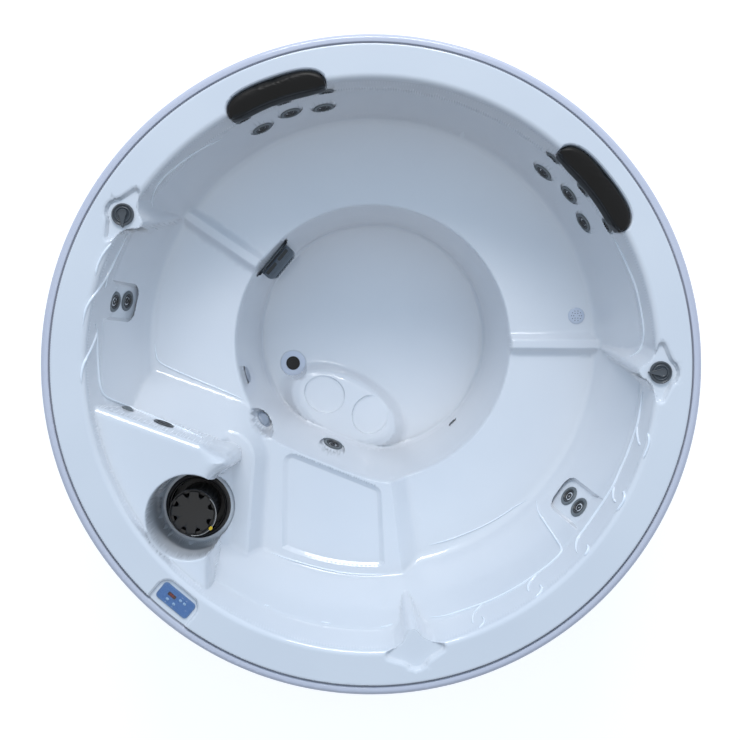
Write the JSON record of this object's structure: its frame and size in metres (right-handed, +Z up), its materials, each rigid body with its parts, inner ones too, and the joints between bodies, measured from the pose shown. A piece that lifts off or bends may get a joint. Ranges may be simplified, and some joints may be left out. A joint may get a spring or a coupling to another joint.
{
  "type": "hot tub",
  "caption": "Round acrylic hot tub with moulded seats, footwell, hydrotherapy jets, skim filter, pillows, control panel and a stave cabinet on a base pan.",
  "frame": {"origin": "on the ground under the centre of the round rim", "axes": "+Z up; in a view from above with +X to the right and +Y up the page, the bench with the pillows is at the top, the filter at the lower left and the control panel at the bottom left"},
  "size_m": [1.98, 1.98, 0.8756],
  "materials": {
    "acrylic": "gloss white acrylic sheet",
    "black_plastic": "black moulded plastic",
    "cabinet_grey": "grained grey-brown board",
    "clear_lens": "clear plastic lens",
    "dark_plastic": "dark grey moulded plastic",
    "display_red": "dark red window",
    "filter_paper": "pleated white filter cloth",
    "frame_timber": "planed timber",
    "jet_grey": "grey moulded plastic",
    "motor_paint": "dark blue-grey paint",
    "pale_plastic": "pale grey plastic",
    "pan_black": "black formed plastic pan",
    "panel_blue": "glossy blue overlay",
    "pillow_black": "black vinyl",
    "pipe_white": "white pipe plastic",
    "steel": "brushed stainless steel"
  },
  "bodies": {
    "tub": {"tub_shell": "acrylic", "jet_manifold": "pipe_white", "foot_jet_body": "pipe_white", "pillow_left": "pillow_black", "pillow_right": "pillow_black", "diverter_valve_left": "pipe_white", "diverter_valve_right": "pipe_white", "filter_canister": "black_plastic", "filter_cartridge": "filter_paper", "suction_cover": "dark_plastic", "floor_drain": "jet_grey", "light_lens": "clear_lens", "footwell_cover": "jet_grey", "return_fitting": "jet_grey", "seat_injector": "jet_grey", "air_cap": "jet_grey", "slim_jet": "dark_plastic", "control_panel": "panel_blue", "panel_display": "display_red", "base_pan": "pan_black", "cabinet_frame": "frame_timber", "cabinet_panel_1": "cabinet_grey", "cabinet_panel_2": "cabinet_grey", "cabinet_panel_3": "cabinet_grey", "cabinet_panel_4": "cabinet_grey", "cabinet_panel_6": "cabinet_grey", "pump_head": "black_plastic", "pump_motor": "motor_paint", "heater": "steel", "control_box": "pale_plastic", "suction_pipe": "pipe_white", "pump_pipe": "pipe_white", "supply_pipe": "pipe_white"},
    "jet_left_upper_1": {"jet_left_upper_1": "jet_grey"},
    "jet_left_lower_1": {"jet_left_lower_1": "jet_grey"},
    "jet_left_upper_2": {"jet_left_upper_2": "jet_grey"},
    "jet_left_lower_2": {"jet_left_lower_2": "jet_grey"},
    "jet_left_upper_3": {"jet_left_upper_3": "jet_grey"},
    "jet_left_lower_3": {"jet_left_lower_3": "jet_grey"},
    "jet_right_upper_1": {"jet_right_upper_1": "jet_grey"},
    "jet_right_lower_1": {"jet_right_lower_1": "jet_grey"},
    "jet_right_upper_2": {"jet_right_upper_2": "jet_grey"},
    "jet_right_lower_2": {"jet_right_lower_2": "jet_grey"},
    "jet_right_upper_3": {"jet_right_upper_3": "jet_grey"},
    "jet_right_lower_3": {"jet_right_lower_3": "jet_grey"},
    "jet_foot": {"jet_foot": "jet_grey"},
    "jet_side_upper": {"jet_side_upper": "jet_grey"},
    "jet_side_lower": {"jet_side_lower": "jet_grey"},
    "jet_corner_upper": {"jet_corner_upper": "jet_grey"},
    "jet_corner_lower": {"jet_corner_lower": "jet_grey"},
    "diverter_knob_left": {"diverter_knob_left": "dark_plastic"},
    "diverter_knob_right": {"diverter_knob_right": "dark_plastic"},
    "filter_weir": {"filter_weir": "black_plastic"},
    "filter_basket": {"filter_basket": "black_plastic"},
    "access_door": {"access_door": "cabinet_grey"},
    "panel_button_1": {"panel_button_1": "pale_plastic"},
    "panel_button_2": {"panel_button_2": "pale_plastic"},
    "panel_button_3": {"panel_button_3": "pale_plastic"},
    "panel_button_4": {"panel_button_4": "pale_plastic"}
  },
  "joints": [
    {"name": "jet_left_upper_1_turn", "type": "hinge", "parent": "tub", "child": "jet_left_upper_1", "pos_m": [-0.13797, 0.83405, 0.73445], "axis": [0.1641, -0.9803, 0.1097], "range_deg": [0, 90]},
    {"name": "jet_left_lower_1_turn", "type": "hinge", "parent": "tub", "child": "jet_left_lower_1", "pos_m": [-0.15052, 0.80401, 0.60197], "axis": [0.1901, -0.9599, 0.2063], "range_deg": [0, 90]},
    {"name": "jet_left_upper_2_turn", "type": "hinge", "parent": "tub", "child": "jet_left_upper_2", "pos_m": [-0.26802, 0.80138, 0.73443], "axis": [0.3186, -0.9411, 0.1132], "range_deg": [0, 90]},
    {"name": "jet_left_lower_2_turn", "type": "hinge", "parent": "tub", "child": "jet_left_lower_2", "pos_m": [-0.25435, 0.78313, 0.63293], "axis": [0.3132, -0.9253, 0.2139], "range_deg": [0, 90]},
    {"name": "jet_left_upper_3_turn", "type": "hinge", "parent": "tub", "child": "jet_left_upper_3", "pos_m": [-0.39117, 0.74834, 0.73441], "axis": [0.4646, -0.8775, 0.1188], "range_deg": [0, 90]},
    {"name": "jet_left_lower_3_turn", "type": "hinge", "parent": "tub", "child": "jet_left_lower_3", "pos_m": [-0.34524, 0.73808, 0.60188], "axis": [0.4303, -0.8745, 0.2239], "range_deg": [0, 90]},
    {"name": "jet_right_upper_1_turn", "type": "hinge", "parent": "tub", "child": "jet_right_upper_1", "pos_m": [0.72757, 0.42118, 0.73423], "axis": [-0.8601, -0.4866, 0.1534], "range_deg": [0, 90]},
    {"name": "jet_right_lower_1_turn", "type": "hinge", "parent": "tub", "child": "jet_right_lower_1", "pos_m": [0.676, 0.43941, 0.6017], "axis": [-0.826, -0.5002, 0.2597], "range_deg": [0, 90]},
    {"name": "jet_right_upper_2_turn", "type": "hinge", "parent": "tub", "child": "jet_right_upper_2", "pos_m": [0.6524, 0.53222, 0.73429], "axis": [-0.7726, -0.6189, 0.1417], "range_deg": [0, 90]},
    {"name": "jet_right_lower_2_turn", "type": "hinge", "parent": "tub", "child": "jet_right_lower_2", "pos_m": [0.62544, 0.52584, 0.63278], "axis": [-0.7567, -0.6063, 0.2446], "range_deg": [0, 90]},
    {"name": "jet_right_upper_3_turn", "type": "hinge", "parent": "tub", "child": "jet_right_upper_3", "pos_m": [0.56045, 0.62981, 0.73434], "axis": [-0.6646, -0.7355, 0.1314], "range_deg": [0, 90]},
    {"name": "jet_right_lower_3_turn", "type": "hinge", "parent": "tub", "child": "jet_right_lower_3", "pos_m": [0.54749, 0.59987, 0.60184], "axis": [-0.6734, -0.7022, 0.2312], "range_deg": [0, 90]},
    {"name": "jet_foot_turn", "type": "hinge", "parent": "tub", "child": "jet_foot", "pos_m": [-0.131, -0.30253, 0.26059], "axis": [0.3474, 0.8731, 0.342], "range_deg": [0, 90]},
    {"name": "jet_side_upper_turn", "type": "hinge", "parent": "tub", "child": "jet_side_upper", "pos_m": [-0.80315, 0.18706, 0.66706], "axis": [0.9223, -0.1893, 0.337], "range_deg": [0, 90]},
    {"name": "jet_side_lower_turn", "type": "hinge", "parent": "tub", "child": "jet_side_lower", "pos_m": [-0.77645, 0.18974, 0.5955], "axis": [0.9223, -0.1893, 0.337], "range_deg": [0, 90]},
    {"name": "jet_corner_upper_turn", "type": "hinge", "parent": "tub", "child": "jet_corner_upper", "pos_m": [0.65465, -0.46007, 0.64371], "axis": [-0.7298, 0.542, 0.4168], "range_deg": [0, 90]},
    {"name": "jet_corner_lower_turn", "type": "hinge", "parent": "tub", "child": "jet_corner_lower", "pos_m": [0.63399, -0.43476, 0.57462], "axis": [-0.7298, 0.542, 0.4168], "range_deg": [0, 90]},
    {"name": "diverter_knob_left_turn", "type": "hinge", "parent": "tub", "child": "diverter_knob_left", "pos_m": [-0.74324, 0.44835, 0.845], "axis": [0, 0, 1], "range_deg": [-90, 90]},
    {"name": "diverter_knob_right_turn", "type": "hinge", "parent": "tub", "child": "diverter_knob_right", "pos_m": [0.86766, -0.02424, 0.845], "axis": [0, 0, 1], "range_deg": [-90, 90]},
    {"name": "filter_weir_slide", "type": "slide", "parent": "tub", "child": "filter_weir", "axis": [0, 0, -1], "range_m": [0, 0.03]},
    {"name": "filter_basket_slide", "type": "slide", "parent": "tub", "child": "filter_basket", "axis": [0, 0, 1], "range_m": [0, 0.3]},
    {"name": "access_door_slide", "type": "slide", "parent": "tub", "child": "access_door", "axis": [0.2588, -0.9659, 0], "range_m": [0, 0.25]},
    {"name": "panel_button_1_slide", "type": "slide", "parent": "tub", "child": "panel_button_1", "axis": [0, 0, -1], "range_m": [0, 0.0011], "stiffness_N_per_m": 400},
    {"name": "panel_button_2_slide", "type": "slide", "parent": "tub", "child": "panel_button_2", "axis": [0, 0, -1], "range_m": [0, 0.0011], "stiffness_N_per_m": 400},
    {"name": "panel_button_3_slide", "type": "slide", "parent": "tub", "child": "panel_button_3", "axis": [0, 0, -1], "range_m": [0, 0.0011], "stiffness_N_per_m": 400},
    {"name": "panel_button_4_slide", "type": "slide", "parent": "tub", "child": "panel_button_4", "axis": [0, 0, -1], "range_m": [0, 0.0011], "stiffness_N_per_m": 400}
  ]
}
